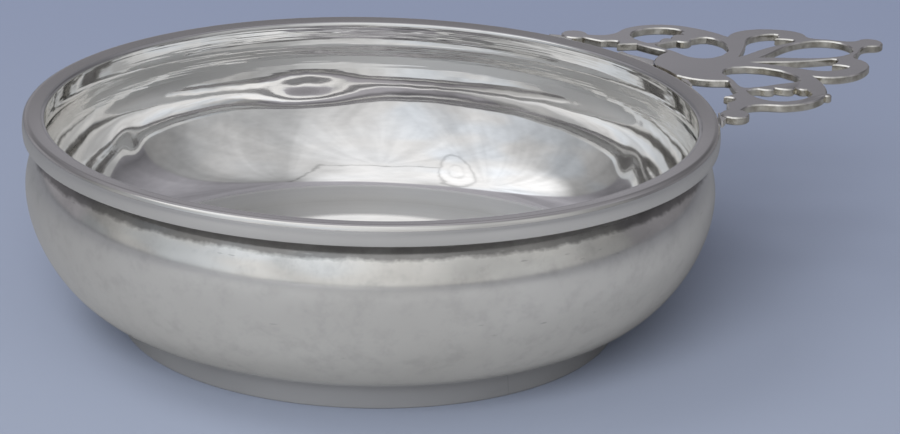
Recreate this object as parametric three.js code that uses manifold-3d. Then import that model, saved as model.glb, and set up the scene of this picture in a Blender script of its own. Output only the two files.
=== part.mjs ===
// A silver porringer: a low bellied bowl with a rim wire, a foot ring and one flat pierced handle.
// Millimetres, +Z up. Heights are taken from the table the foot ring stands on.
import * as THREE from 'three';
import { mergeVertices, toCreasedNormals } from 'three/addons/utils/BufferGeometryUtils.js';
import Module from 'manifold-3d';

// Bowl
const overallHeight = 41.4;
const bellyRadius = 65.9;
const bellyHeight = 27.6;
const bellyFullness = 9.6;
const shoulderInset = 3.1;
const baseInset = 17.3;
const baseSpread = 8.8;
const wall = 0.8;

// Rim wire round the mouth
const rimWireWidth = 3.4;
const rimWireHeight = 3.8;
const rimOuterRounding = 1.1;
const rimInnerRounding = 0.25;

// Foot ring
const footHeight = 5.4;
const footInset = 0.55;
const footSplay = 0.8;
const footStrip = 1.3;
const footEdgeRounding = 0.3;
const footSeamAngle = -85;
const footSeamGap = 0.4;
const footFillet = 0.9;

// Handle
const handleReach = 52.8;
const handleHalfWidth = 30.4;
const handleThickness = 1.6;
const handleEdgeEase = 0.25;
const finialRadius = 2.7;
const scrollEndRadius = 2.8;
const scrollEndGap = 0.45;
const shoulderBeadRadius = 0.9;
const leafTipRadius = 1.9;

// Solder
const solderFilm = 0.15;
const seamFilm = 0.05;
const tabSolderDrop = 0.35;
const tabSolderStart = 5.4;
const leftTabSolderEnd = 15.9;
const leftTabSolderDepth = 3.2;
const rightTabSolderEnd = 9.5;
const rightTabSolderDepth = 1.4;
const tabSolderEndDepth = 0.5;
const solderHollow = 0.33;
const scrollSolderSpread = 2.4;
const scrollSolderDepth = 1.2;

// How finely round forms are divided
const turnSegments = 72;
const curveSegments = 8;
const smallCurveSegments = 4;
const edgeRoundSegments = 3;

const collarRadius = bellyRadius - shoulderInset;
const baseRadius = bellyRadius - baseInset;
const footRadius = baseRadius - footInset;
const rimInnerRadius = collarRadius + solderFilm;
const rimOuterRadius = rimInnerRadius + rimWireWidth;
const handleTop = overallHeight;
const handleBottom = handleTop - handleThickness;
const handleTip = rimOuterRadius + handleReach;

const wasm = await Module();
wasm.setup();

// A closed solid for cutting and joining, from any of the drawn shapes.
function toSolid(geometry) {
  const bare = geometry.clone();
  bare.deleteAttribute('normal');
  bare.deleteAttribute('uv');
  const merged = mergeVertices(bare);
  const vertProperties = new Float32Array(merged.attributes.position.array);
  const triVerts = new Uint32Array(merged.index.array);
  return new wasm.Manifold(new wasm.Mesh({ numProp: 3, vertProperties, triVerts }));
}

function toGeometry(solid) {
  const mesh = solid.getMesh();
  const geometry = new THREE.BufferGeometry();
  geometry.setAttribute('position', new THREE.BufferAttribute(mesh.vertProperties, 3));
  geometry.setIndex(new THREE.BufferAttribute(mesh.triVerts, 1));
  return toCreasedNormals(geometry, Math.PI / 6);
}

// Turns a profile of (radius, height) points round the bowl's upright axis.
function turned(points) {
  return new THREE.LatheGeometry(points, turnSegments).rotateX(Math.PI / 2);
}

function raised(shape, bottom, top) {
  const settings = { depth: top - bottom, bevelEnabled: false, curveSegments };
  return new THREE.ExtrudeGeometry(shape, settings).translate(0, 0, bottom);
}

// The line at a steady distance to the left of a line of points, mitred at its corners.
function lineBeside(points, distance) {
  return points.map((point, i) => {
    const before = points[Math.max(i - 1, 0)];
    const after = points[Math.min(i + 1, points.length - 1)];
    const arriving = point.clone().sub(i > 0 ? before : point);
    const leaving = after.clone().sub(point);
    const first = (i > 0 ? arriving : leaving).clone().normalize();
    const second = (i < points.length - 1 ? leaving : arriving).clone().normalize();
    const along = first.clone().add(second).normalize();
    const reach = distance / along.dot(first);
    return new THREE.Vector2(point.x - along.y * reach, point.y + along.x * reach);
  });
}

// Bowl: raised from one sheet, so the inside follows the outside at the sheet's thickness.
function bowl() {
  const collarBottom = overallHeight - rimWireHeight;
  const shoulderRise = collarBottom - bellyHeight;
  const shoulderRadius = (shoulderRise ** 2 + shoulderInset ** 2) / (2 * shoulderInset);
  const shoulderTurn = 2 * Math.atan2(shoulderInset, shoulderRise);
  const belly = new THREE.CubicBezierCurve(
    new THREE.Vector2(baseRadius, footHeight),
    new THREE.Vector2(baseRadius + baseSpread, footHeight),
    new THREE.Vector2(bellyRadius, bellyHeight - bellyFullness),
    new THREE.Vector2(bellyRadius, bellyHeight),
  );
  const shoulder = new THREE.EllipseCurve(
    bellyRadius - shoulderRadius, bellyHeight, shoulderRadius, shoulderRadius, 0, shoulderTurn,
  );
  const outer = [
    new THREE.Vector2(0, footHeight),
    ...belly.getPoints(curveSegments),
    ...shoulder.getPoints(smallCurveSegments).slice(1),
    new THREE.Vector2(collarRadius, overallHeight),
  ];
  const inner = lineBeside(outer, wall).reverse();
  return turned([...outer, ...inner]);
}

// Rim wire: stout wire with its upper outside edge rounded over, bent round the outside of the mouth.
function rimWire() {
  const top = overallHeight;
  const bottom = top - rimWireHeight;
  const section = new THREE.Path();
  section.moveTo(rimInnerRadius, bottom);
  section.lineTo(rimOuterRadius - rimInnerRounding, bottom);
  section.lineTo(rimOuterRadius, bottom + rimInnerRounding);
  section.absarc(
    rimOuterRadius - rimOuterRounding, top - rimOuterRounding, rimOuterRounding, 0, Math.PI / 2, false,
  );
  section.lineTo(rimInnerRadius + rimInnerRounding, top);
  section.lineTo(rimInnerRadius, top - rimInnerRounding);
  section.closePath();
  return turned(section.getPoints(edgeRoundSegments));
}

// Foot ring: a strip bent round until its ends meet, splayed a little towards the table.
function footSection() {
  const top = footHeight - solderFilm;
  const section = new THREE.Path();
  section.moveTo(footRadius - footStrip + footEdgeRounding, 0);
  section.lineTo(footRadius - footEdgeRounding, 0);
  section.absarc(footRadius - footEdgeRounding, footEdgeRounding, footEdgeRounding, -Math.PI / 2, 0, false);
  section.lineTo(footRadius - footSplay, top);
  section.lineTo(footRadius - footSplay - footStrip, top);
  section.lineTo(footRadius - footStrip, footEdgeRounding);
  section.closePath();
  return section.getPoints(edgeRoundSegments);
}

function seamSlab(width) {
  const slab = new THREE.BoxGeometry(footRadius, width, 2 * footHeight);
  slab.translate(footRadius, 0, 0);
  return toSolid(slab.rotateZ(THREE.MathUtils.degToRad(footSeamAngle)));
}

function footRing() {
  return toGeometry(toSolid(turned(footSection())).subtract(seamSlab(footSeamGap)));
}

function footSeamSolder() {
  const seamWidth = footSeamGap - 2 * seamFilm;
  return toGeometry(toSolid(turned(footSection())).intersect(seamSlab(seamWidth)));
}

// The hollowed fillet of solder in the corner between the foot ring and the bowl.
function footSolder() {
  const top = footHeight - solderFilm;
  const low = top - footFillet;
  const ringAtTop = footRadius - footSplay + solderFilm;
  const ringAtLow = ringAtTop + footSplay * footFillet / footHeight;
  const section = new THREE.Path();
  section.moveTo(ringAtLow, low);
  section.quadraticCurveTo(ringAtLow, top, ringAtTop + footFillet, top);
  section.lineTo(ringAtTop, top);
  section.closePath();
  return turned(section.getPoints(smallCurveSegments));
}

// Handle: drawn flat on a grid that runs to 1000 from the rim to the finial's tip, and to 1000 from
// the centreline to the widest place of a side scroll. One half is drawn, the other is its mirror.
function at(along, across) {
  return [rimOuterRadius + handleReach * along / 1000, handleHalfWidth * across / 1000];
}

// The round end of a side scroll stops just short of the rim, and solder fills the gap.
function scrollEnd() {
  const across = at(0, 990)[1];
  const fromAxis = rimOuterRadius + scrollEndGap + scrollEndRadius;
  return new THREE.Vector2(Math.sqrt(fromAxis ** 2 - across ** 2), across);
}

function mirrored(points) {
  return points.map((point) => new THREE.Vector2(point.x, -point.y)).reverse();
}

function handleOutline() {
  const end = scrollEnd();
  const half = new THREE.Path();
  half.moveTo(handleTip, 0);
  half.absarc(handleTip - finialRadius, 0, finialRadius, 0, 2 * Math.PI / 3, false);
  half.bezierCurveTo(...at(886, 53), ...at(859, 105), ...at(819, 178));
  half.quadraticCurveTo(...at(760, 240), ...at(765, 290));
  half.bezierCurveTo(...at(787, 370), ...at(771, 461), ...at(709, 533));
  half.bezierCurveTo(...at(670, 579), ...at(632, 602), ...at(585, 602));
  half.bezierCurveTo(...at(543, 602), ...at(495, 569), ...at(472, 510));
  half.bezierCurveTo(...at(467, 641), ...at(430, 776), ...at(389, 868));
  half.bezierCurveTo(...at(340, 967), ...at(255, 1026), ...at(164, 977));
  half.bezierCurveTo(...at(118, 952), ...at(105, 892), ...at(48, 888));
  half.bezierCurveTo(...at(10, 885), end.x + scrollEndRadius, end.y - scrollEndRadius / 2, end.x, end.y);
  half.quadraticCurveTo(end.x, end.y - scrollEndRadius, ...at(-22, 773));
  half.quadraticCurveTo(...at(76, 734), ...at(10, 655));
  half.quadraticCurveTo(...at(50, 638), ...at(86, 615));
  half.bezierCurveTo(...at(95, 560), ...at(112, 470), ...at(133, 401));
  half.quadraticCurveTo(...at(142, 365), ...at(120, 352));
  half.bezierCurveTo(...at(63, 316), ...at(17, 237), ...at(0, 128));
  half.lineTo(rimOuterRadius - rimWireWidth, 0);
  const upper = half.getPoints(curveSegments);
  const lower = mirrored(upper).slice(1, -1);
  return [...upper, ...lower];
}

// The opening inside a side scroll, with the three-lobed leaf along its inner edge.
function scrollOpening() {
  const hole = new THREE.Path();
  hole.moveTo(...at(133, 605));
  hole.bezierCurveTo(...at(100, 735), ...at(118, 908), ...at(232, 908));
  hole.bezierCurveTo(...at(295, 908), ...at(362, 830), ...at(349, 740));
  hole.quadraticCurveTo(...at(322, 738), ...at(324, 674));
  hole.quadraticCurveTo(...at(291, 738), ...at(250, 632));
  hole.quadraticCurveTo(...at(221, 690), ...at(185, 600));
  hole.quadraticCurveTo(...at(158, 585), ...at(133, 605));
  return hole.getPoints(curveSegments);
}

// The rounded opening between the stem and a side scroll.
function stemOpening() {
  const hole = new THREE.Path();
  hole.moveTo(...at(170, 283));
  hole.bezierCurveTo(...at(170, 184), ...at(204, 122), ...at(253, 122));
  hole.bezierCurveTo(...at(318, 122), ...at(413, 270), ...at(413, 421));
  hole.bezierCurveTo(...at(413, 500), ...at(402, 566), ...at(368, 569));
  hole.bezierCurveTo(...at(333, 572), ...at(303, 553), ...at(250, 563));
  hole.bezierCurveTo(...at(213, 569), ...at(190, 556), ...at(162, 553));
  hole.bezierCurveTo(...at(131, 546), ...at(145, 474), ...at(156, 421));
  hole.bezierCurveTo(...at(166, 375), ...at(170, 329), ...at(170, 283));
  return hole.getPoints(smallCurveSegments);
}

// The hooked leaf opening beside the stem's point.
function leafOpening() {
  const hole = new THREE.Path();
  hole.moveTo(...at(358, 72));
  hole.bezierCurveTo(...at(406, 151), ...at(455, 250), ...at(488, 329));
  hole.bezierCurveTo(...at(512, 391), ...at(539, 454), ...at(604, 457));
  hole.bezierCurveTo(...at(634, 457), ...at(665, 447), ...at(674, 418));
  hole.quadraticCurveTo(...at(661, 359), ...at(629, 339));
  hole.quadraticCurveTo(...at(665, 312), ...at(686, 263));
  hole.quadraticCurveTo(...at(691, 227), ...at(657, 218));
  hole.bezierCurveTo(...at(594, 208), ...at(509, 176), ...at(461, 138));
  hole.quadraticCurveTo(...at(405, 95), ...at(358, 72));
  return hole.getPoints(smallCurveSegments);
}

// The drop-shaped opening on the centreline, by which the porringer can hang.
function dropOpening() {
  const half = new THREE.Path();
  half.moveTo(...at(425, 0));
  half.bezierCurveTo(...at(509, 39), ...at(594, 191), ...at(710, 191));
  half.bezierCurveTo(...at(790, 191), ...at(842, 112), ...at(842, 0));
  const upper = half.getPoints(curveSegments);
  const lower = mirrored(upper).slice(1, -1);
  return [...upper, ...lower];
}

// A plate of the handle's thickness with eased edges; "grown" adds room all round its outline.
function handlePlate(shape, grown) {
  const settings = {
    depth: handleThickness - 2 * handleEdgeEase,
    bevelThickness: handleEdgeEase,
    bevelSize: handleEdgeEase,
    bevelOffset: grown - handleEdgeEase,
    bevelSegments: 1,
    curveSegments,
  };
  const plate = new THREE.ExtrudeGeometry(shape, settings);
  return toSolid(plate.translate(0, 0, handleBottom + handleEdgeEase));
}

function disc(x, y, radius) {
  const shape = new THREE.Shape();
  shape.absarc(x, y, radius, 0, 2 * Math.PI, false);
  return shape;
}

function handleSolid(grown) {
  const shape = new THREE.Shape(handleOutline());
  for (const opening of [scrollOpening(), stemOpening(), leafOpening()]) {
    shape.holes.push(new THREE.Path(opening));
    shape.holes.push(new THREE.Path(mirrored(opening)));
  }
  shape.holes.push(new THREE.Path(dropOpening()));
  const end = scrollEnd();
  const discs = [
    disc(end.x, end.y, scrollEndRadius),
    disc(end.x, -end.y, scrollEndRadius),
    disc(...at(286, 580), leafTipRadius),
    disc(...at(380, -890), shoulderBeadRadius),
  ];
  return discs.reduce((solid, round) => solid.add(handlePlate(round, grown)), handlePlate(shape, grown));
}

function handle() {
  const reach = rimOuterRadius + solderFilm;
  const rim = new THREE.CylinderGeometry(reach, reach, 2 * overallHeight, turnSegments);
  const rimSpace = toSolid(rim.rotateX(Math.PI / 2).translate(0, 0, overallHeight));
  return toGeometry(handleSolid(0).subtract(rimSpace));
}

// A piece of solder lying against the rim, hollowed between its depths at two places across the handle.
function solderAgainstRim(fromAcross, toAcross, fromDepth, toDepth, top) {
  const inner = rimOuterRadius + solderFilm;
  const fromAngle = Math.asin(fromAcross / inner);
  const toAngle = Math.asin(toAcross / inner);
  const hollow = inner + toDepth + solderHollow * (fromDepth - toDepth);
  const middleAngle = (fromAngle + toAngle) / 2;
  const from = new THREE.Vector2(inner + fromDepth, 0).rotateAround(new THREE.Vector2(), fromAngle);
  const to = new THREE.Vector2(inner + toDepth, 0).rotateAround(new THREE.Vector2(), toAngle);
  const middle = new THREE.Vector2(hollow, 0).rotateAround(new THREE.Vector2(), middleAngle);
  const shape = new THREE.Shape();
  shape.absarc(0, 0, inner, fromAngle, toAngle, false);
  shape.lineTo(to.x, to.y);
  shape.quadraticCurveTo(middle.x, middle.y, from.x, from.y);
  return toSolid(raised(shape, handleBottom, top)).subtract(handleSolid(solderFilm));
}

function tabSolder(end, depth) {
  return solderAgainstRim(tabSolderStart, end, depth, tabSolderEndDepth, handleTop - tabSolderDrop);
}

function scrollSolder() {
  const from = scrollEnd().y - scrollSolderSpread;
  const to = scrollEnd().y + scrollSolderSpread;
  const top = handleTop - handleEdgeEase;
  return solderAgainstRim(from, to, scrollSolderDepth, scrollSolderDepth, top);
}

const silver = { color: 0xa5a6a9, roughness: 0.16, metalness: 1 };
const silverSolder = { color: 0x98989b, roughness: 0.32, metalness: 1 };

const porringer = new THREE.Group();
porringer.name = 'porringer';

function place(name, geometry, finish) {
  const mesh = new THREE.Mesh(geometry, new THREE.MeshStandardMaterial(finish));
  mesh.name = name;
  mesh.position.x = (rimOuterRadius - handleTip) / 2;
  porringer.add(mesh);
}

const acrossHandle = [1, -1, 1];
place('bowl', bowl(), silver);
place('rim_wire', rimWire(), silver);
place('foot_ring', footRing(), silver);
place('foot_seam_solder', footSeamSolder(), silverSolder);
place('foot_solder', footSolder(), silverSolder);
place('handle', handle(), silver);
const leftTabSolder = tabSolder(leftTabSolderEnd, leftTabSolderDepth);
const rightTabSolder = tabSolder(rightTabSolderEnd, rightTabSolderDepth).scale(acrossHandle);
place('tab_solder_left', toGeometry(leftTabSolder), silverSolder);
place('tab_solder_right', toGeometry(rightTabSolder), silverSolder);
place('scroll_solder_left', toGeometry(scrollSolder()), silverSolder);
place('scroll_solder_right', toGeometry(scrollSolder().scale(acrossHandle)), silverSolder);

export default porringer;
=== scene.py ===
import math

import bpy
from mathutils import Matrix, Vector


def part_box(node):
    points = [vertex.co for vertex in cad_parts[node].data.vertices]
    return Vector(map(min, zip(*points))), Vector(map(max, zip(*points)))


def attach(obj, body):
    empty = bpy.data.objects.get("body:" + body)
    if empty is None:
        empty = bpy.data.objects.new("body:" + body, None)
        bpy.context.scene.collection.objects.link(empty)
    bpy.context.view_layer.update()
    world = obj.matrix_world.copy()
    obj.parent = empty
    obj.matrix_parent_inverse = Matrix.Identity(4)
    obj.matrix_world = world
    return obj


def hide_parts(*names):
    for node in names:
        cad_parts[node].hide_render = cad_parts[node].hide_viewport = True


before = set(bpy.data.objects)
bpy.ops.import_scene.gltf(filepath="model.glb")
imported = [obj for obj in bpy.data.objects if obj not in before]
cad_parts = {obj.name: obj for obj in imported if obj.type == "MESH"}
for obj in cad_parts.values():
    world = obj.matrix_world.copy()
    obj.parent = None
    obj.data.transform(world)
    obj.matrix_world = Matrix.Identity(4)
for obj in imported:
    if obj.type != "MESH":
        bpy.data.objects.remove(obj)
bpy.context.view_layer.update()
bpy.ops.object.select_all(action="DESELECT")


# Bowl: one sheet of sterling silver, raised into a bellied bowl with an upright mouth and a flat base.
# It was planished smooth and polished: the inside is kept bright, the outside is hazed by handling.
bowl_low, bowl_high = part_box("bowl")
axis_x = (bowl_low.x + bowl_high.x) / 2
belly_radius = (bowl_high.y - bowl_low.y) / 2
mouth_top = bowl_high.z
base_under = bowl_low.z
wire_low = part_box("rim_wire")[0].z
sheet = 0.0008
mouth_outer = 0.0628
belly_height = 0.0276
belly_fullness = 0.0096
base_radius = 0.0486
base_spread = 0.0088
mouth_easing = 0.0007
mouth_dip = 0.00032
neck_drop = 0.0009
neck_lead = 0.0004
neck_length = 0.0012
neck_blend = 4
top_turn = 98
weld_distance = 0.000002


def bezier(a, b, c, d, steps):
    """Points along a curve that leaves a towards b and reaches d from c."""
    points = []
    for i in range(steps + 1):
        t = i / steps
        s = 1 - t
        points.append(a * s**3 + b * 3 * s * s * t + c * 3 * s * t * t + d * t**3)
    return points


def arc(centre, radius, start, stop, steps):
    """Points along part of a circle, between two turns in degrees."""
    points = []
    for i in range(steps + 1):
        turn = math.radians(start + (stop - start) * i / steps)
        points.append(centre + Vector((math.cos(turn), math.sin(turn))) * radius)
    return points


def beside(points, distance):
    """The line that runs at a steady distance to the left of a smooth line of points."""
    moved = []
    for i, point in enumerate(points):
        heading = (points[min(i + 1, len(points) - 1)] - points[max(i - 1, 0)]).normalized()
        moved.append(point + Vector((-heading.y, heading.x)) * distance)
    return moved


def spun(name, section, steps, closed=False, start=0.0, sweep=math.tau):
    """A section of (radius, height) points, extruded point by point and spun round the bowl's axis."""
    def placed(point):
        return Vector((axis_x + point.x * math.cos(start), point.x * math.sin(start), point.y))

    bpy.ops.object.select_all(action="DESELECT")
    bpy.ops.mesh.primitive_plane_add(size=0.001, location=placed(section[0]))
    piece = bpy.context.object
    piece.name = piece.data.name = name
    bpy.ops.object.mode_set(mode="EDIT")
    bpy.ops.mesh.merge(type="CENTER")
    for here, there in zip(section, section[1:]):
        step = placed(there) - placed(here)
        bpy.ops.mesh.extrude_region_move(TRANSFORM_OT_translate={"value": step})
    bpy.ops.mesh.select_all(action="SELECT")
    if closed:
        bpy.ops.mesh.edge_face_add()
        bpy.ops.mesh.select_all(action="SELECT")
        if sweep == math.tau:
            bpy.ops.mesh.delete(type="ONLY_FACE")
            bpy.ops.mesh.select_all(action="SELECT")
    bpy.ops.mesh.spin(steps=steps, angle=-sweep, center=(axis_x, 0, 0), axis=(0, 0, 1))
    bpy.ops.mesh.select_all(action="SELECT")
    bpy.ops.mesh.remove_doubles(threshold=weld_distance)
    bpy.ops.mesh.normals_make_consistent(inside=False)
    bpy.ops.object.mode_set(mode="OBJECT")
    bpy.ops.object.transform_apply(location=True, rotation=True, scale=True)
    bpy.ops.object.shade_smooth_by_angle(angle=math.radians(32))
    return piece


shoulder_rise = wire_low - neck_drop - belly_height
shoulder_inset = belly_radius - mouth_outer
shoulder_radius = (shoulder_rise**2 + shoulder_inset**2) / (2 * shoulder_inset)
shoulder_turn = math.degrees(math.asin(shoulder_rise / shoulder_radius))
shoulder_centre = Vector((belly_radius - shoulder_radius, belly_height))
neck = Vector((mouth_outer, wire_low - neck_drop))
base_edge = Vector((base_radius, base_under))
belly = Vector((belly_radius, belly_height))
outside_line = [Vector((0.0, base_under)), Vector((base_radius * 0.5, base_under))]
outside_line += bezier(
    base_edge, base_edge + Vector((base_spread, 0)), belly - Vector((0, belly_fullness)), belly, steps=48
)
shoulder_line = arc(shoulder_centre, shoulder_radius, 0, shoulder_turn - neck_blend, steps=18)[1:]
outside_line += shoulder_line
outside_line += bezier(
    shoulder_line[-1], (shoulder_line[-1] + neck * 2) / 3,
    neck + Vector((0, neck_lead)), neck + Vector((0, neck_length)), steps=6,
)[1:]
outside_line.append(Vector((mouth_outer, mouth_top - mouth_dip)))
inside_line = list(reversed(beside(outside_line, sheet)))
inside_line[0] = Vector((mouth_outer - sheet, mouth_top - mouth_dip - mouth_easing))
inside_line[-1].x = 0.0
easing_centre = Vector((mouth_outer - sheet + mouth_easing, mouth_top - mouth_dip - mouth_easing))
mouth_edge = arc(easing_centre, mouth_easing, top_turn, 180, steps=6)
bowl = spun("bowl_sheet", outside_line + mouth_edge[:-1] + inside_line, steps=360)


def dented(piece, turn, height, half_width, half_height, depth):
    """Presses one shallow dent into the wall from outside, at a turn round the bowl and a height."""
    reach = 3
    outward = Vector((math.cos(math.radians(turn)), math.sin(math.radians(turn)), 0))
    sideways = Vector((-outward.y, outward.x, 0))
    pressed = piece.vertex_groups.new(name="pressed")
    for point in piece.data.vertices:
        apart = point.co - Vector((axis_x, 0, height))
        far = (apart.dot(sideways) / half_width) ** 2 + (apart.z / half_height) ** 2
        if apart.dot(outward) > 0 and far < reach**2:
            pressed.add([point.index], math.exp(-far), "REPLACE")
    for axis, share in (("X", outward.x), ("Y", outward.y)):
        press = piece.modifiers.new("press", "DISPLACE")
        press.vertex_group = "pressed"
        press.direction = axis
        press.mid_level = 0.0
        press.strength = -depth * share
        bpy.ops.object.modifier_apply(modifier=press.name)
    piece.vertex_groups.clear()


# Three old dents: a long one in the back wall, and a small one low on each side.
for dent_turn, dent_height, half_width, half_height, depth in (
    (75, 0.0269, 0.0105, 0.0036, 0.0006),
    (113.8, 0.0212, 0.0026, 0.003, 0.00016),
    (6.5, 0.0197, 0.0026, 0.003, 0.00014),
):
    dented(bowl, dent_turn, dent_height, half_width, half_height, depth)


def node(tree, kind, settings=None, **inputs):
    """Adds a shader node, with its plain settings and the values of its named sockets."""
    made = tree.nodes.new(kind)
    for key, value in (settings or {}).items():
        setattr(made, key, value)
    for key, value in inputs.items():
        made.inputs[key.replace("_", " ")].default_value = value
    return made


def sum_of(tree, *pairs):
    """Adds up (socket, weight socket) products and returns the socket of the total."""
    total = None
    for value, weight in pairs:
        part = node(tree, "ShaderNodeMath", {"operation": "MULTIPLY"})
        tree.links.new(value, part.inputs[0])
        tree.links.new(weight, part.inputs[1])
        if total is None:
            total = part.outputs[0]
            continue
        added = node(tree, "ShaderNodeMath", {"operation": "ADD"})
        tree.links.new(total, added.inputs[0])
        tree.links.new(part.outputs[0], added.inputs[1])
        total = added.outputs[0]
    return total


# What a silver surface keeps from the hammer, the lathe, the buff and the cupboard: slow ripples, turning
# rings, hairline rubs and patches of haze, each as its own strength.
hand_polish = bpy.data.node_groups.new("hand_polish", "ShaderNodeTree")
for label in ("Ripple", "Rings", "Hairlines", "Haze", "Haze Patches"):
    hand_polish.interface.new_socket(label, in_out="INPUT", socket_type="NodeSocketFloat")
for label in ("Height", "Roughness", "Tarnish"):
    hand_polish.interface.new_socket(label, in_out="OUTPUT", socket_type="NodeSocketFloat")
given = node(hand_polish, "NodeGroupInput")
polish_place = node(hand_polish, "ShaderNodeTexCoord").outputs["Object"]
height_only = node(hand_polish, "ShaderNodeSeparateXYZ")
hand_polish.links.new(polish_place, height_only.inputs[0])
ripple = node(hand_polish, "ShaderNodeTexNoise", Scale=42.0, Detail=1.5, Roughness=0.4)
rings = node(hand_polish, "ShaderNodeTexNoise", {"noise_dimensions": "1D"}, Scale=340.0, Detail=2.0)
stretch = node(hand_polish, "ShaderNodeMapping", Scale=(90.0, 90.0, 2600.0))
hairlines = node(hand_polish, "ShaderNodeTexNoise", Scale=1.0, Detail=3.0, Roughness=0.6)
haze = node(hand_polish, "ShaderNodeTexNoise", Scale=70.0, Detail=4.0, Roughness=0.6)
tarnish = node(hand_polish, "ShaderNodeTexNoise", Scale=26.0, Detail=3.0, Roughness=0.55)
for placed_node in (ripple, stretch, haze, tarnish):
    hand_polish.links.new(polish_place, placed_node.inputs["Vector"])
hand_polish.links.new(height_only.outputs["Z"], rings.inputs["W"])
hand_polish.links.new(stretch.outputs["Vector"], hairlines.inputs["Vector"])
polish_level = sum_of(
    hand_polish,
    (ripple.outputs["Fac"], given.outputs["Ripple"]),
    (rings.outputs["Fac"], given.outputs["Rings"]),
    (hairlines.outputs["Fac"], given.outputs["Hairlines"]),
)
middle = node(hand_polish, "ShaderNodeMath", {"operation": "SUBTRACT"})
middle.inputs[1].default_value = 0.5
hand_polish.links.new(haze.outputs["Fac"], middle.inputs[0])
spread = node(hand_polish, "ShaderNodeMath", {"operation": "MULTIPLY_ADD"})
hand_polish.links.new(middle.outputs[0], spread.inputs[0])
hand_polish.links.new(given.outputs["Haze Patches"], spread.inputs[1])
hand_polish.links.new(given.outputs["Haze"], spread.inputs[2])
patched = node(hand_polish, "ShaderNodeMapRange", From_Min=0.42, From_Max=0.72)
hand_polish.links.new(tarnish.outputs["Fac"], patched.inputs["Value"])
taken = node(hand_polish, "NodeGroupOutput")
hand_polish.links.new(polish_level, taken.inputs["Height"])
hand_polish.links.new(spread.outputs[0], taken.inputs["Roughness"])
hand_polish.links.new(patched.outputs["Result"], taken.inputs["Tarnish"])


def silver(name, bright, dull, **strengths):
    """A silver finish between a bright and a dull tone; returns the material, its tone mix and its shader."""
    material = bpy.data.materials.new(name)
    material.use_nodes = True
    tree = material.node_tree
    shader = tree.nodes["Principled BSDF"]
    shader.inputs["Metallic"].default_value = 1.0
    polish = node(tree, "ShaderNodeGroup", {"node_tree": hand_polish})
    for key, value in strengths.items():
        polish.inputs[key.replace("_", " ")].default_value = value
    tone = node(tree, "ShaderNodeMix", {"data_type": "RGBA"})
    tone.inputs["A"].default_value = (*bright, 1)
    tone.inputs["B"].default_value = (*dull, 1)
    bump = node(tree, "ShaderNodeBump", Strength=1.0, Distance=1.0)
    tree.links.new(polish.outputs["Tarnish"], tone.inputs["Factor"])
    tree.links.new(tone.outputs["Result"], shader.inputs["Base Color"])
    tree.links.new(polish.outputs["Roughness"], shader.inputs["Roughness"])
    tree.links.new(polish.outputs["Height"], bump.inputs["Height"])
    tree.links.new(bump.outputs["Normal"], shader.inputs["Normal"])
    return material, tone, shader


def grimed_and_shaded(material, tone, shader, low, high, colour):
    """Old polish in a joint plus painted shade under its overhang: dark from the upper height on, thinning
    out raggedly to the lower one.
    """
    raggedness = 0.0022
    tree = material.node_tree
    where = node(tree, "ShaderNodeTexCoord").outputs["Object"]
    split = node(tree, "ShaderNodeSeparateXYZ")
    ragged = node(tree, "ShaderNodeTexNoise", Scale=210.0, Detail=6.0, Roughness=0.72)
    wander = node(tree, "ShaderNodeMath", {"operation": "MULTIPLY_ADD"})
    wander.inputs[1].default_value = raggedness
    reach = node(
        tree, "ShaderNodeMapRange", From_Min=low + raggedness / 2, From_Max=high + raggedness / 2
    )
    line = node(tree, "ShaderNodeValToRGB")
    line.color_ramp.elements[0].color = (0, 0, 0, 1)
    line.color_ramp.elements[1].color = (0.96, 0.96, 0.96, 1)
    for position, share in ((0.2, 0.45), (0.35, 0.8), (0.65, 0.86)):
        line.color_ramp.elements.new(position).color = (share, share, share, 1)
    mixed = node(tree, "ShaderNodeMix", {"data_type": "RGBA"})
    mixed.inputs["B"].default_value = (*colour, 1)
    tree.links.new(where, split.inputs[0])
    tree.links.new(where, ragged.inputs["Vector"])
    tree.links.new(ragged.outputs["Fac"], wander.inputs[0])
    tree.links.new(split.outputs["Z"], wander.inputs[2])
    tree.links.new(wander.outputs[0], reach.inputs["Value"])
    tree.links.new(reach.outputs["Result"], line.inputs["Fac"])
    tree.links.new(line.outputs["Color"], mixed.inputs["Factor"])
    tree.links.new(tone.outputs["Result"], mixed.inputs["A"])
    tree.links.new(mixed.outputs["Result"], shader.inputs["Base Color"])


outside_finish, outside_tone, outside_shader = silver(
    "bowl_outside_silver", (0.962, 0.948, 0.908), (0.88, 0.863, 0.82),
    Ripple=0.00006, Rings=0.000004, Hairlines=0.0000014, Haze=0.16, Haze_Patches=0.16,
)
# Painted shade: a ragged dark band just under the rim wire, partly old polish in the joint and partly the
# shade where the wire overhangs the bowl.
grime_shade_low = wire_low - 0.0035
grime_shade_high = wire_low - 0.0015
grime_shade_colour = (0.2, 0.196, 0.19)
grimed_and_shaded(outside_finish, outside_tone, outside_shader, grime_shade_low, grime_shade_high, grime_shade_colour)
inside_finish, inside_tone, inside_shader = silver(
    "bowl_inside_silver", (0.95, 0.945, 0.935), (0.9, 0.89, 0.875),
    Ripple=0.00003, Rings=0.000001, Hairlines=0.0000006, Haze=0.055, Haze_Patches=0.05,
)
bowl.data.materials.append(outside_finish)
bowl.data.materials.append(inside_finish)
mouth_centre = Vector((axis_x, 0, mouth_top))
behind_wire = wire_low + 0.001
for face in bowl.data.polygons:
    faces_in = face.normal.dot(mouth_centre - face.center) > 0 or face.center.z > behind_wire
    face.material_index = 1 if faces_in else 0


def maths(tree, operation, *values):
    """One arithmetic step on sockets or plain numbers."""
    step = node(tree, "ShaderNodeMath", {"operation": operation})
    for socket, value in zip(step.inputs, values):
        if isinstance(value, (int, float)):
            socket.default_value = value
        else:
            tree.links.new(value, socket)
    return step.outputs[0]


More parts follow.
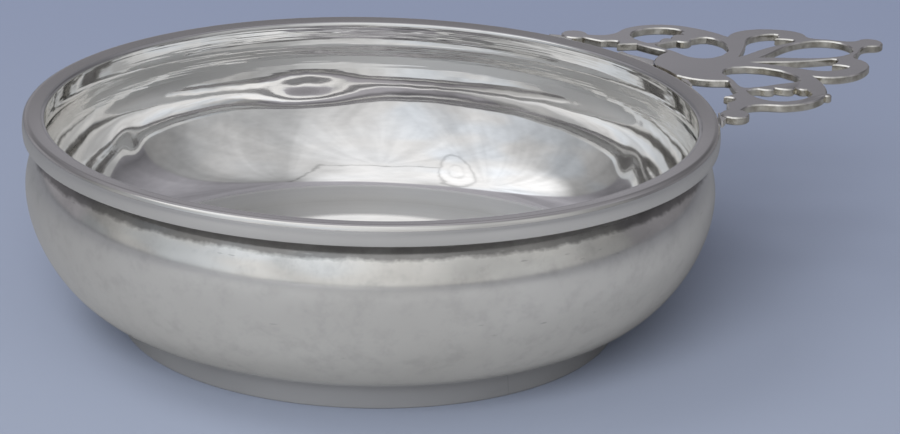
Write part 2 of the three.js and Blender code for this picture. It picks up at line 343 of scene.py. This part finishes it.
def along(tree, place, direction):
    """How far a place or a look points along a direction."""
    step = node(tree, "ShaderNodeVectorMath", {"operation": "DOT_PRODUCT"})
    step.inputs[1].default_value = direction
    tree.links.new(place, step.inputs[0])
    return step.outputs["Value"]


def eased(tree, value, low, high, to_low=0.0, to_high=1.0):
    """A soft step of a value from one level to another."""
    step = node(
        tree, "ShaderNodeMapRange", {"interpolation_type": "SMOOTHSTEP"},
        From_Min=low, From_Max=high, To_Min=to_low, To_Max=to_high,
    )
    tree.links.new(value, step.inputs["Value"])
    return step.outputs["Result"]


# Handling has left the outside with faint smudges and a few short dark rubs.
outside_tree = outside_finish.node_tree
outside_place = node(outside_tree, "ShaderNodeTexCoord").outputs["Object"]
smudges = node(outside_tree, "ShaderNodeTexNoise", Scale=230.0, Detail=6.0, Roughness=0.7)
outside_tree.links.new(outside_place, smudges.inputs["Vector"])
rub_stretch = node(outside_tree, "ShaderNodeMapping", Scale=(210.0, 210.0, 1300.0))
outside_tree.links.new(outside_place, rub_stretch.inputs["Vector"])
rubs = node(outside_tree, "ShaderNodeTexNoise", Scale=1.0, Detail=2.0)
outside_tree.links.new(rub_stretch.outputs["Vector"], rubs.inputs["Vector"])
marked = maths(
    outside_tree, "MAXIMUM",
    eased(outside_tree, smudges.outputs["Fac"], 0.44, 0.72, 0.0, 0.26),
    eased(outside_tree, rubs.outputs["Fac"], 0.71, 0.77, 0.0, 0.55),
)
marked_tone = node(outside_tree, "ShaderNodeMix", {"data_type": "RGBA"})
marked_tone.inputs["B"].default_value = (0.52, 0.515, 0.5, 1)
outside_tree.links.new(marked, marked_tone.inputs["Factor"])
outside_tree.links.new(outside_shader.inputs["Base Color"].links[0].from_socket, marked_tone.inputs["A"])
outside_tree.links.new(marked_tone.outputs["Result"], outside_shader.inputs["Base Color"])

# The upper wall inside keeps the stake's unevenness.
inside_tree = inside_finish.node_tree
inside_place = node(inside_tree, "ShaderNodeTexCoord").outputs["Object"]
wall_height = along(inside_tree, inside_place, Vector((0, 0, 1)))
uneven = node(inside_tree, "ShaderNodeTexNoise", Scale=105.0, Detail=2.0, Roughness=0.5)
inside_tree.links.new(inside_place, uneven.inputs["Vector"])
swirl_depth = eased(inside_tree, wall_height, 0.018, 0.031, 0.0, 0.00014)
wall_swirl = maths(inside_tree, "MULTIPLY", uneven.outputs["Fac"], swirl_depth)

# Turning and buffing left fine stripes round the upper wall.
stripe_stretch = node(inside_tree, "ShaderNodeMapping", Scale=(26.0, 26.0, 820.0))
inside_tree.links.new(inside_place, stripe_stretch.inputs["Vector"])
stripes = node(inside_tree, "ShaderNodeTexNoise", Scale=1.0, Detail=2.0, Roughness=0.55)
inside_tree.links.new(stripe_stretch.outputs["Vector"], stripes.inputs["Vector"])
stripe_depth = eased(inside_tree, wall_height, 0.028, 0.0325, 0.0, 0.0001)
wall_stripes = maths(inside_tree, "MULTIPLY", stripes.outputs["Fac"], stripe_depth)
wall_marks = maths(inside_tree, "ADD", wall_swirl, wall_stripes)
inside_bump = next(each for each in inside_tree.nodes if each.bl_idname == "ShaderNodeBump")
polish_height = inside_bump.inputs["Height"].links[0].from_socket
inside_level = maths(inside_tree, "ADD", polish_height, wall_marks)
inside_tree.links.new(inside_level, inside_bump.inputs["Height"])

# A band round the floor's edge has lost its polish to spoons: satin, with fine scratches running round.
# Its darker tone is partly that wear and partly painted shade that dims what the band mirrors.
band_inner_edge = (0.0385, 0.041)
band_outer_edge = (0.0546, 0.0532)
floor_x = maths(inside_tree, "SUBTRACT", along(inside_tree, inside_place, Vector((1, 0, 0))), axis_x)
floor_y = along(inside_tree, inside_place, Vector((0, 1, 0)))
floor_out = maths(inside_tree, "SQRT", sum_of(inside_tree, (floor_x, floor_x), (floor_y, floor_y)))
worn = maths(
    inside_tree, "MULTIPLY",
    eased(inside_tree, floor_out, *band_inner_edge), eased(inside_tree, floor_out, *band_outer_edge),
)
scratches = node(inside_tree, "ShaderNodeTexNoise", {"noise_dimensions": "1D"}, Scale=1500.0, Detail=3.0)
inside_tree.links.new(floor_out, scratches.inputs["W"])
scratch_haze = eased(inside_tree, scratches.outputs["Fac"], 0.3, 0.7, 0.34, 0.42)
worn_haze = maths(inside_tree, "MULTIPLY", worn, scratch_haze)
polish_haze = inside_shader.inputs["Roughness"].links[0].from_socket
inside_tree.links.new(maths(inside_tree, "ADD", polish_haze, worn_haze), inside_shader.inputs["Roughness"])
# Partly painted shade: the worn band is toned darker than the bright floor.
worn_and_shaded_tone = node(inside_tree, "ShaderNodeMix", {"data_type": "RGBA"})
worn_and_shaded_tone.inputs["B"].default_value = (0.64, 0.64, 0.64, 1)
inside_tree.links.new(worn, worn_and_shaded_tone.inputs["Factor"])

# Painted shade: the upper wall inside is toned a little darker towards the mouth, which dims its reflections.
upper_wall_shade = node(inside_tree, "ShaderNodeMix", {"data_type": "RGBA"})
upper_wall_shade.inputs["B"].default_value = (0.8, 0.8, 0.79, 1)
inside_tree.links.new(eased(inside_tree, wall_height, 0.0275, 0.031), upper_wall_shade.inputs["Factor"])
inside_tree.links.new(inside_tone.outputs["Result"], upper_wall_shade.inputs["A"])
inside_tree.links.new(upper_wall_shade.outputs["Result"], worn_and_shaded_tone.inputs["A"])
inside_tree.links.new(worn_and_shaded_tone.outputs["Result"], inside_shader.inputs["Base Color"])
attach(bowl, "root")
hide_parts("bowl")


# Rim wire: stout drawn silver wire, bent to a hoop and soldered round the outside of the mouth.
# Its top was filed level with the sheet's edge, dipping a little inwards, and its outer corner rounded over.
wire_box_low, wire_box_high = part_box("rim_wire")
wire_outer = (wire_box_high.y - wire_box_low.y) / 2
wire_gap = 0.00002
wire_inner = mouth_outer + wire_gap
wire_top = wire_box_high.z
wire_corner = 0.0001
top_round = 0.0011
low_round = 0.0003
crown = 0.00012
crown_from = 0.0012
crown_to = 0.0018
wire_section = [Vector((wire_inner, wire_low + wire_corner)), Vector((wire_inner + wire_corner, wire_low))]
wire_section += arc(
    Vector((wire_outer - low_round - crown, wire_low + low_round)), low_round, -90, -20, steps=4
)
wire_section += bezier(
    Vector((wire_outer - crown, wire_low + low_round)), Vector((wire_outer, wire_low + crown_from)),
    Vector((wire_outer, wire_top - crown_to)), Vector((wire_outer - crown, wire_top - top_round)), steps=8,
)
wire_section += arc(
    Vector((wire_outer - crown - top_round, wire_top - top_round)), top_round, 6, top_turn, steps=8
)
wire_section.append(Vector((wire_inner, wire_top - mouth_dip)))
rim = spun("rim_wire_hoop", wire_section, steps=240, closed=True)
rim_finish = silver(
    "rim_silver", (0.878, 0.867, 0.842), (0.808, 0.797, 0.772),
    Ripple=0.00002, Rings=0.0000008, Hairlines=0.0000008, Haze=0.16, Haze_Patches=0.1,
)[0]
rim.data.materials.append(rim_finish)

# The wire's under face was never polished; its darker tone is partly that tarnish and partly painted shade
# under the overhanging wire.
joint_shade_finish = silver(
    "joint_tarnish_and_shade", (0.78, 0.77, 0.75), (0.6, 0.59, 0.57),
    Ripple=0.0, Rings=0.0, Hairlines=0.000002, Haze=0.5, Haze_Patches=0.2,
)[0]
rim.data.materials.append(joint_shade_finish)
under_slope = -0.6
for face in rim.data.polygons:
    face.material_index = 1 if face.normal.z < under_slope else 0
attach(rim, "root")
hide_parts("rim_wire")


# Foot ring: a strip of sheet bent round and butt soldered, splayed slightly towards the table.
# Its lower edge is eased by years of standing, and the gap at the seam is closed by its own solder.
foot_low, foot_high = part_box("foot_ring")
foot_radius = (foot_high.y - foot_low.y) / 2
foot_top = foot_high.z
foot_splay = 0.0008
foot_strip = 0.0013
foot_easing = 0.0003
foot_metal = 0.3
seam_width = 0.00026
seam_low, seam_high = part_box("foot_seam_solder")
seam_middle = (seam_low + seam_high) / 2
seam_turn = math.atan2(seam_middle.y, seam_middle.x - axis_x)
seam_gap = seam_width / foot_radius
foot_section = arc(
    Vector((foot_radius - foot_strip + foot_easing, foot_easing)), foot_easing, 180, 270, steps=4
)
foot_section += arc(Vector((foot_radius - foot_easing, foot_easing)), foot_easing, -90, 0, steps=4)
foot_section += [
    Vector((foot_radius - foot_splay * 0.5, foot_top * 0.5)),
    Vector((foot_radius - foot_splay, foot_top)),
    Vector((foot_radius - foot_splay - foot_strip, foot_top)),
]
foot = spun(
    "foot_strip", foot_section, steps=180, closed=True,
    start=seam_turn + seam_gap / 2, sweep=math.tau - seam_gap,
)
# Painted shade: the strip is toned dark grey and only partly metallic, standing in for the shade it sits in
# under the belly's overhang.
foot_shaded_finish, _, foot_shader = silver(
    "foot_painted_shade_silver", (0.281, 0.286, 0.301), (0.24, 0.245, 0.259),
    Ripple=0.00003, Rings=0.000002, Hairlines=0.000001, Haze=0.32, Haze_Patches=0.16,
)
foot_shader.inputs["Metallic"].default_value = foot_metal
foot.data.materials.append(foot_shaded_finish)
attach(foot, "root")
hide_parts("foot_ring")


# Foot seam: silver solder run down the butt joint of the strip and filed level with it.
# It is a shade greyer than the strip, so it shows as a fine upright line.
seam = spun(
    "foot_seam", foot_section, steps=2, closed=True, start=seam_turn - seam_gap / 2, sweep=seam_gap
)
# Painted shade: the seam is toned dark like the strip, for the shade under the belly; its own greyer tone
# makes it a touch darker still.
seam_finish, _, seam_shader = silver(
    "seam_silver", (0.254, 0.258, 0.272), (0.213, 0.218, 0.229),
    Ripple=0.00003, Rings=0.0, Hairlines=0.000001, Haze=0.34, Haze_Patches=0.16,
)
seam_shader.inputs["Metallic"].default_value = foot_metal
seam.data.materials.append(seam_finish)
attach(seam, "root")
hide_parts("foot_seam_solder")


# Foot fillet: the hollow line of solder in the corner between the foot ring and the underside.
# It was drawn round the joint by the flame and only lightly cleaned.
fillet_low, fillet_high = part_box("foot_solder")
fillet_reach = (fillet_high.y - fillet_low.y) / 2
fillet_gap = 0.00012
fillet_lip = 0.00013
fillet_hollow = 0.0003
fillet_lift = 0.0001
fillet_inner = foot_radius - foot_splay + fillet_gap
fillet_foot = fillet_inner + fillet_lip
fillet_section = bezier(
    Vector((fillet_foot, fillet_low.z)), Vector((fillet_foot + fillet_lift, fillet_high.z - fillet_hollow)),
    Vector((fillet_reach - fillet_hollow, fillet_high.z - fillet_lift)),
    Vector((fillet_reach, fillet_high.z)), steps=6,
)
fillet_section.append(Vector((fillet_inner, fillet_high.z)))
fillet = spun("foot_fillet", fillet_section, steps=144, closed=True)
fillet_finish = silver(
    "fillet_silver", (0.32, 0.32, 0.33), (0.24, 0.24, 0.25),
    Ripple=0.00003, Rings=0.0, Hairlines=0.000002, Haze=0.4, Haze_Patches=0.2,
)[0]
fillet.data.materials.append(fillet_finish)
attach(fillet, "root")
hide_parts("foot_solder")


# Handle: one flat casting in silver, its scrolls and leaves sawn and filed through, polished on top.
# The edges are eased with a file, and the sawn walls keep a duller, yellower tone than the top.
def merged_copy(node_name, piece_name):
    """A copy of a solid from the part's frame, with its doubled points merged and flat faces made whole."""
    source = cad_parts[node_name]
    piece = source.copy()
    piece.data = source.data.copy()
    piece.name = piece.data.name = piece_name
    bpy.context.collection.objects.link(piece)
    piece.hide_render = piece.hide_viewport = False
    bpy.ops.object.select_all(action="DESELECT")
    piece.select_set(True)
    bpy.context.view_layer.objects.active = piece
    bpy.ops.object.mode_set(mode="EDIT")
    bpy.ops.mesh.select_all(action="SELECT")
    bpy.ops.mesh.remove_doubles(threshold=weld_distance)
    bpy.ops.mesh.dissolve_limited(angle_limit=math.radians(1))
    bpy.ops.mesh.normals_make_consistent(inside=False)
    bpy.ops.object.mode_set(mode="OBJECT")
    piece.data.materials.clear()
    return piece


handle = merged_copy("handle", "handle_casting")
bpy.ops.object.shade_smooth_by_angle(angle=math.radians(20))
handle_finish, handle_tone, handle_shader = silver(
    "handle_silver", (0.92, 0.915, 0.905), (0.85, 0.845, 0.83),
    Ripple=0.00002, Rings=0.0, Hairlines=0.0000008, Haze=0.16, Haze_Patches=0.1,
)
handle_tree = handle_finish.node_tree
wall_facing = node(handle_tree, "ShaderNodeNewGeometry")
wall_split = node(handle_tree, "ShaderNodeSeparateXYZ")
wall_upright = node(handle_tree, "ShaderNodeMath", {"operation": "ABSOLUTE"})
wall_share = node(handle_tree, "ShaderNodeMapRange", From_Min=0.25, From_Max=0.95, To_Min=0.9, To_Max=0.0)
wall_stain = node(handle_tree, "ShaderNodeTexNoise", Scale=520.0, Detail=3.0)
wall_colour = node(handle_tree, "ShaderNodeValToRGB")
wall_colour.color_ramp.elements[0].position = 0.35
wall_colour.color_ramp.elements[0].color = (0.4, 0.37, 0.3, 1)
wall_colour.color_ramp.elements[1].position = 0.65
wall_colour.color_ramp.elements[1].color = (0.78, 0.75, 0.66, 1)
wall_mix = node(handle_tree, "ShaderNodeMix", {"data_type": "RGBA"})
wall_place = node(handle_tree, "ShaderNodeTexCoord")
handle_tree.links.new(wall_facing.outputs["True Normal"], wall_split.inputs[0])
handle_tree.links.new(wall_split.outputs["Z"], wall_upright.inputs[0])
handle_tree.links.new(wall_upright.outputs[0], wall_share.inputs["Value"])
handle_tree.links.new(wall_place.outputs["Object"], wall_stain.inputs["Vector"])
handle_tree.links.new(wall_stain.outputs["Fac"], wall_colour.inputs["Fac"])
handle_tree.links.new(wall_share.outputs["Result"], wall_mix.inputs["Factor"])
handle_tree.links.new(handle_tone.outputs["Result"], wall_mix.inputs["A"])
handle_tree.links.new(wall_colour.outputs["Color"], wall_mix.inputs["B"])
handle_tree.links.new(wall_mix.outputs["Result"], handle_shader.inputs["Base Color"])
handle.data.materials.append(handle_finish)
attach(handle, "root")
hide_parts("handle")


# Handle solder: the wedges beside the round tab and the small joints at the two scroll ends.
# They were left full for strength, so they stand a little below the top as pale, soft-edged webs.
def solder_copy(node_name, piece_name, rounding, end_turn, end_move):
    """A solder run: its free end drawn to the rim or away from it, its corners left round by the flame."""
    end_face = 0.0001
    clear_of_rim = wire_outer + 0.0003
    piece = merged_copy(node_name, piece_name)
    bpy.ops.object.mode_set(mode="EDIT")
    bpy.ops.mesh.select_all(action="DESELECT")
    bpy.ops.object.mode_set(mode="OBJECT")
    outward = Vector((math.cos(math.radians(end_turn)), math.sin(math.radians(end_turn)), 0))
    sideways = Vector((-outward.y, outward.x, 0))
    for point in piece.data.vertices:
        from_axis = point.co - Vector((axis_x, 0, 0))
        at_end = abs(from_axis.dot(sideways)) < end_face
        point.select = at_end and from_axis.dot(outward) > clear_of_rim
    bpy.ops.object.mode_set(mode="EDIT")
    bpy.ops.transform.translate(value=outward * end_move)
    bpy.ops.object.mode_set(mode="OBJECT")
    soften = piece.modifiers.new("soften", "BEVEL")
    soften.width = rounding
    soften.segments = 3
    soften.limit_method = "ANGLE"
    soften.angle_limit = math.radians(25)
    bpy.ops.object.modifier_apply(modifier="soften")
    bpy.ops.object.shade_smooth_by_angle(angle=math.radians(30))
    return piece


solder_finish = silver(
    "solder_silver", (0.86, 0.85, 0.84), (0.72, 0.7, 0.68),
    Ripple=0.00003, Rings=0.0, Hairlines=0.000002, Haze=0.5, Haze_Patches=0.2,
)[0]
for node_name, piece_name, rounding, end_turn, end_move in (
    ("tab_solder_left", "tab_wedge_left", 0.0002, 13.83, 0.0009),
    ("tab_solder_right", "tab_wedge_right", 0.0002, -8.24, 0.0),
    ("scroll_solder_left", "scroll_joint_left", 0.0001, 29.25, -0.0009),
    ("scroll_solder_right", "scroll_joint_right", 0.0001, -29.25, -0.0009),
):
    web = solder_copy(node_name, piece_name, rounding, end_turn, end_move)
    web.data.materials.append(solder_finish)
    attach(web, "root")
    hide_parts(node_name)


# Table: a sheet of blue-grey paper, bluer behind the bowl, laid on a grey table. The camera sees the
# paper, and the polished metal mirrors mostly the grey table beyond the paper's edges. The table's grey is
# painted light and shade: dark behind the bowl, lightest a little in front of it, darker far off and to the
# sides.
toward_viewer = Vector((-0.4864, -0.8737, 0.0))
to_right = Vector((0.8737, -0.4864, 0.0))
table_size = 12
bpy.ops.object.select_all(action="DESELECT")
bpy.ops.mesh.primitive_grid_add(x_subdivisions=24, y_subdivisions=24, size=table_size, location=(0, 0, 0))
table = bpy.context.object
table.name = table.data.name = "paper_table"
paper = bpy.data.materials.new("graduated_paper")
paper.use_nodes = True
paper_tree = paper.node_tree
paper_shader = paper_tree.nodes["Principled BSDF"]
paper_shader.inputs["Roughness"].default_value = 0.9
paper_shader.inputs["Specular IOR Level"].default_value = 0.1


def ramp(tree, value, low, high, *stops):
    """A colour that runs through evenly spaced stops between two levels of a value."""
    band = node(tree, "ShaderNodeValToRGB")
    band.color_ramp.elements.remove(band.color_ramp.elements[1])
    for i, colour in enumerate(stops):
        if i == 0:
            stop = band.color_ramp.elements[0]
        else:
            stop = band.color_ramp.elements.new(i / (len(stops) - 1))
        stop.color = (*colour, 1)
    scaled = node(tree, "ShaderNodeMapRange", From_Min=low, From_Max=high)
    tree.links.new(value, scaled.inputs["Value"])
    tree.links.new(scaled.outputs["Result"], band.inputs["Fac"])
    return band.outputs["Color"]


paper_spot = node(paper_tree, "ShaderNodeTexCoord").outputs["Object"]
bowl_middle = Vector((axis_x, 0, 0))
paper_near, paper_right = (
    maths(paper_tree, "SUBTRACT", along(paper_tree, paper_spot, way), way.dot(bowl_middle))
    for way in (toward_viewer, to_right)
)
paper_blue = ramp(
    paper_tree, paper_near, -0.4, 0.07,
    (0.297, 0.345, 0.49), (0.303, 0.348, 0.482), (0.306, 0.347, 0.458), (0.31, 0.348, 0.442),
)
# Painted light and shade on the grey table, for the metal to mirror: dark behind the bowl, lightest a little
# in front of it, darker again far off.
table_light_and_shade = ramp(
    paper_tree, paper_near, -0.25, 0.35, (0.2, 0.2, 0.2), (0.23, 0.23, 0.23), (0.28, 0.28, 0.28),
    (0.35, 0.35, 0.35), (0.42, 0.42, 0.42), (0.34, 0.34, 0.34), (0.27, 0.27, 0.27),
)
beside_bowl = maths(paper_tree, "ABSOLUTE", paper_right)
side_shade = node(paper_tree, "ShaderNodeMix", {"data_type": "RGBA"})
side_shade.inputs["B"].default_value = (0.25, 0.25, 0.255, 1)
paper_tree.links.new(eased(paper_tree, beside_bowl, 0.09, 0.3), side_shade.inputs["Factor"])
paper_tree.links.new(table_light_and_shade, side_shade.inputs["A"])
mirrored_blue = 0.15
seen_by = node(paper_tree, "ShaderNodeLightPath")
seen_blue = maths(
    paper_tree, "MAXIMUM", seen_by.outputs["Is Camera Ray"],
    maths(paper_tree, "MULTIPLY", seen_by.outputs["Is Glossy Ray"], mirrored_blue),
)
paper_mix = node(paper_tree, "ShaderNodeMix", {"data_type": "RGBA"})
paper_tree.links.new(seen_blue, paper_mix.inputs["Factor"])
paper_tree.links.new(side_shade.outputs["Result"], paper_mix.inputs["A"])
paper_tree.links.new(paper_blue, paper_mix.inputs["B"])
paper_tree.links.new(paper_mix.outputs["Result"], paper_shader.inputs["Base Color"])
table.data.materials.append(paper)


# Light: a cloth tent over the table, white in front and overhead, greyer to the right and dark behind,
# with a bright window of lamplight high on the left, a sewn top panel and soft folds, plus two soft lamps.
world = bpy.data.worlds.new("cloth_tent")
bpy.context.scene.world = world
world.use_nodes = True
tent = world.node_tree
tent.nodes.clear()
look = node(tent, "ShaderNodeTexCoord").outputs["Generated"]
frontward = along(tent, look, toward_viewer)
rightward = along(tent, look, to_right)
upward = along(tent, look, Vector((0, 0, 1)))
lamp_side = (toward_viewer * 0.035 - to_right * 0.5 + Vector((0, 0, 0.866))).normalized()


def times(*values):
    """The product of sockets or plain numbers, the first of them a socket."""
    total = values[0]
    for value in values[1:]:
        total = maths(tent, "MULTIPLY", total, value)
    return total


def blend(a, b, share):
    """From a to b by a share; a and b may be plain numbers."""
    part = maths(tent, "MULTIPLY", maths(tent, "SUBTRACT", b, a), share)
    return maths(tent, "ADD", a, part)


def plus(a, b):
    """The sum of two sockets or plain numbers."""
    return maths(tent, "ADD", a, b)


# How bright the cloth is each way: it falls off round both sides, and the back is in the dark.
round_turn = maths(tent, "ARCTAN2", rightward, frontward)
low_right = times(
    eased(tent, round_turn, -0.1, 0.6, 1.0, 0.74), eased(tent, round_turn, 0.55, 2.0, 1.0, 0.3)
)
high_right = times(
    eased(tent, round_turn, 0.15, 0.75, 1.0, 0.72), eased(tent, round_turn, 0.95, 2.1, 1.0, 0.3)
)
left_end = eased(tent, round_turn, -1.2, -1.75, 1.0, 0.52)
low_left = times(eased(tent, round_turn, -0.5, -1.25, 1.0, 0.68), left_end)
high_left = times(eased(tent, round_turn, -1.05, -1.5, 1.0, 0.7), left_end)
round_shade = blend(times(low_right, low_left), times(high_right, high_left), eased(tent, upward, 0.52, 0.82))
round_shade = blend(round_shade, 1.0, eased(tent, upward, 0.96, 1.0))
front_cloth = times(eased(tent, upward, 0.2, 0.7, 0.71, 0.85), round_shade)
front_cloth = blend(front_cloth, 1.04, eased(tent, along(tent, look, lamp_side), 0.925, 0.985))
back_cloth = times(
    plus(eased(tent, upward, 0.25, 0.34, 0.275, 0.18), eased(tent, upward, 0.45, 0.8, 0.0, 0.2)),
    eased(tent, rightward, 0.05, 0.4, 1.0, 0.68),
    plus(1.0, times(eased(tent, rightward, 0.5, 0.85, 0.0, 0.7), eased(tent, upward, 0.3, 0.5))),
)
back_edge = maths(tent, "SUBTRACT", frontward, times(maths(tent, "MINIMUM", rightward, 0.0), 0.18))
behind = eased(tent, back_edge, -0.055, -0.085)
cloth = blend(front_cloth, back_cloth, behind)

# The top of the tent: a sewn panel with a loose flap beside it, drawn by the dark lines of their edges.
overhead = maths(tent, "MAXIMUM", upward, 0.05)
along_top = maths(tent, "DIVIDE", frontward, overhead)
across_top = maths(tent, "DIVIDE", rightward, overhead)
waver = node(tent, "ShaderNodeTexNoise", Scale=9.0, Detail=2.0)
tent.links.new(look, waver.inputs["Vector"])
wobble = times(maths(tent, "SUBTRACT", waver.outputs["Fac"], 0.5), 0.12)


def thread(value, place, width):
    """One where a value comes close to a place, wavering a little, and nothing elsewhere."""
    gap = maths(tent, "ABSOLUTE", plus(maths(tent, "SUBTRACT", value, place), wobble))
    return eased(tent, gap, width, width * 0.25)


panel_width = times(eased(tent, across_top, -0.34, -0.3), eased(tent, across_top, 0.29, 0.26))
panel_depth = times(eased(tent, along_top, 0.38, 0.35), eased(tent, along_top, -0.14, -0.08))
sewn_line = maths(
    tent, "MAXIMUM",
    times(thread(along_top, 0.36, 0.014), panel_width), times(thread(across_top, 0.27, 0.014), panel_depth),
)
top_panel = times(eased(tent, plus(along_top, wobble), 0.37, 0.35), panel_width)
flap_out = maths(tent, "SUBTRACT", along_top, 0.285)
flap_over = plus(across_top, 0.395)
flap_along = maths(tent, "DIVIDE", plus(times(flap_out, 0.95), times(flap_over, -0.31)), 0.38)
flap_across = maths(tent, "DIVIDE", plus(times(flap_out, 0.31), times(flap_over, 0.95)), 0.09)
flap_size = maths(tent, "SQRT", plus(times(flap_along, flap_along), times(flap_across, flap_across)))
flap_size = plus(flap_size, times(wobble, 4.0))
flap_lines = maths(
    tent, "MAXIMUM", times(thread(flap_size, 1.0, 0.09), 0.36), times(thread(flap_size, 0.45, 0.08), 0.2)
)
dark_lines = times(
    maths(tent, "MAXIMUM", times(sewn_line, 0.45), flap_lines), maths(tent, "SUBTRACT", 1.0, behind)
)
cloth = times(
    cloth,
    maths(tent, "SUBTRACT", 1.0, dark_lines),
    plus(1.0, times(top_panel, 0.07)),
    eased(tent, flap_size, 0.95, 0.8, 1.0, 1.07),
)


def folds(from_along, from_across, scale, least, most):
    """Soft folds that run out from a gathering point in the tent's top."""
    out_along = maths(tent, "SUBTRACT", along_top, from_along)
    out_across = maths(tent, "SUBTRACT", across_top, from_across)
    length = maths(tent, "SQRT", plus(times(out_along, out_along), times(out_across, out_across)))
    length = maths(tent, "MAXIMUM", length, 0.02)
    ray = node(tent, "ShaderNodeCombineXYZ")
    tent.links.new(maths(tent, "DIVIDE", out_along, length), ray.inputs["X"])
    tent.links.new(maths(tent, "DIVIDE", out_across, length), ray.inputs["Y"])
    tent.links.new(times(upward, 0.18), ray.inputs["Z"])
    pleats = node(tent, "ShaderNodeTexNoise", Scale=scale, Detail=3.0, Roughness=0.6)
    tent.links.new(ray.outputs[0], pleats.inputs["Vector"])
    return eased(tent, pleats.outputs["Fac"], 0.34, 0.66, least, most)


left_panel = eased(tent, across_top, -0.32, -0.55)
right_panel = eased(tent, across_top, 0.25, 0.4)
front_panel = times(eased(tent, along_top, 0.36, 0.5), eased(tent, along_top, 3.0, 1.4))
creases = node(tent, "ShaderNodeTexNoise", Scale=16.0, Detail=4.0, Roughness=0.6)
tent.links.new(look, creases.inputs["Vector"])
cloth = times(
    cloth,
    blend(1.0, folds(0.36, -0.03, 4.2, 0.9, 1.05), front_panel),
    blend(1.0, folds(-0.05, -0.42, 3.6, 0.8, 1.06), left_panel),
    blend(1.0, folds(-0.07, 0.27, 3.2, 0.82, 1.08), right_panel),
    eased(tent, creases.outputs["Fac"], 0.3, 0.7, 0.95, 1.05),
)

# The cloth is cooler in patches on the left, and takes a dusky tint behind.
cool_patches = node(tent, "ShaderNodeTexNoise", Scale=2.6, Detail=1.0)
tent.links.new(look, cool_patches.inputs["Vector"])
cool_share = times(
    eased(tent, cool_patches.outputs["Fac"], 0.4, 0.62), eased(tent, across_top, 0.1, -0.5, 0.2, 1.0)
)
cloth_tint = node(tent, "ShaderNodeMix", {"data_type": "RGBA"})
cloth_tint.inputs["A"].default_value = (1.0, 1.0, 1.01, 1)
cloth_tint.inputs["B"].default_value = (0.95, 1.0, 1.07, 1)
tent.links.new(cool_share, cloth_tint.inputs["Factor"])
dusk_tint = node(tent, "ShaderNodeMix", {"data_type": "RGBA"})
dusk_tint.inputs["B"].default_value = (1.0, 0.98, 1.07, 1)
tent.links.new(behind, dusk_tint.inputs["Factor"])
tent.links.new(cloth_tint.outputs["Result"], dusk_tint.inputs["A"])
tent_light = node(tent, "ShaderNodeBackground")
tent.links.new(dusk_tint.outputs["Result"], tent_light.inputs["Color"])
tent.links.new(cloth, tent_light.inputs["Strength"])
tent_out = node(tent, "ShaderNodeOutputWorld")
tent.links.new(tent_light.outputs[0], tent_out.inputs["Surface"])

lamp_distance = 1.2
front_side = (toward_viewer * 0.84 - to_right * 0.2 + Vector((0, 0, 0.5))).normalized()
for lamp_name, lamp_way, lamp_power, lamp_size in (
    ("window_lamp", lamp_side, 2.0, 0.55),
    ("front_lamp", front_side, 12.0, 0.8),
):
    bpy.ops.object.light_add(type="AREA", location=lamp_way * lamp_distance)
    lamp = bpy.context.object
    lamp.name = lamp_name
    lamp.data.shape = "DISK"
    lamp.data.size = lamp_size
    lamp.data.energy = lamp_power
    lamp.rotation_euler = (-lamp_way).to_track_quat("-Z", "Y").to_euler()
    lamp.visible_glossy = False


# Camera: a long lens a little above the rim, with the handle pointing away to the right. It leans slightly
# to one side, as the outlines in the photo show.
bpy.ops.object.camera_add()
camera = bpy.context.object
camera.data.sensor_width = 36
camera.data.lens = 120
eye = Vector((axis_x - 0.25225, -0.48457, mouth_top + 0.17149))
gaze = Vector((0.45868, 0.82394, -0.33283)).normalized()
level_right = gaze.cross(Vector((0, 0, 1))).normalized()
level_up = level_right.cross(gaze)
lean = 0.0284
lens_right = level_right * math.cos(lean) + level_up * math.sin(lean)
lens_up = level_up * math.cos(lean) - level_right * math.sin(lean)
lens_turn = Matrix((lens_right, lens_up, -gaze)).transposed()
camera.matrix_world = Matrix.Translation(eye) @ lens_turn.to_4x4()
bpy.context.scene.camera = camera
bpy.context.scene.view_settings.view_transform = "Standard"
bpy.context.scene.cycles.max_bounces = 16
bpy.context.scene.cycles.glossy_bounces = 12
